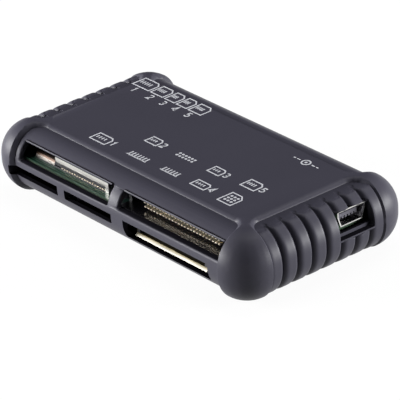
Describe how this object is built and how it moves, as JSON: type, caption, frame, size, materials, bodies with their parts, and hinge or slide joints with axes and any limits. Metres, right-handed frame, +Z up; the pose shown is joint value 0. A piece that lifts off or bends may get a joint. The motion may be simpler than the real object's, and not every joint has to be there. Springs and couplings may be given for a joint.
{
  "type": "usb memory card reader",
  "caption": "Flat rounded desktop memory card reader with bumper corners, ribbed ends, card slots along the front and a mini USB inlet at one end.",
  "frame": {"origin": "bottom centre of the case", "axes": "+X along the case towards the USB inlet, +Y from the card slots to the back, +Z up"},
  "size_m": [0.11, 0.0614, 0.0213],
  "materials": {
    "case_plastic": "fine satin moulded charcoal plastic",
    "black_plastic": "matte black connector plastic",
    "grey_plastic": "matte grey connector plastic",
    "board_laminate": "green solder mask over laminate",
    "bright_sheet": "bright stamped sheet",
    "plated_shell": "bright plated shell",
    "plated_screw": "zinc plated steel",
    "gilt_contact": "gold plated contact",
    "bronze_leaf": "phosphor bronze leaf",
    "ceramic_tan": "tan chip ceramic",
    "ceramic_black": "black chip ceramic",
    "lamp_lens": "clear lamp resin"
  },
  "bodies": {
    "root": {"top_shell": "case_plastic", "bottom_shell": "case_plastic", "circuit_board": "board_laminate", "case_screws": "plated_screw", "wide_card_header": "black_plastic", "wide_card_pins": "gilt_contact", "slim_card_shell": "bright_sheet", "slim_card_base": "black_plastic", "slim_card_contacts": "gilt_contact", "card_detect_spring": "bronze_leaf", "square_card_cover": "bright_sheet", "square_card_base": "black_plastic", "square_card_contacts": "gilt_contact", "small_card_shell_left": "bright_sheet", "small_card_base_left": "black_plastic", "small_card_contacts_left": "gilt_contact", "small_card_shell_right": "bright_sheet", "small_card_base_right": "black_plastic", "small_card_contacts_right": "gilt_contact", "usb_shell": "plated_shell", "usb_insulator": "grey_plastic", "usb_contacts": "gilt_contact", "controller_chip": "black_plastic", "timing_crystal": "bright_sheet", "capacitors": "ceramic_tan", "resistors": "ceramic_black", "access_lamp": "lamp_lens"}
  },
  "joints": []
}
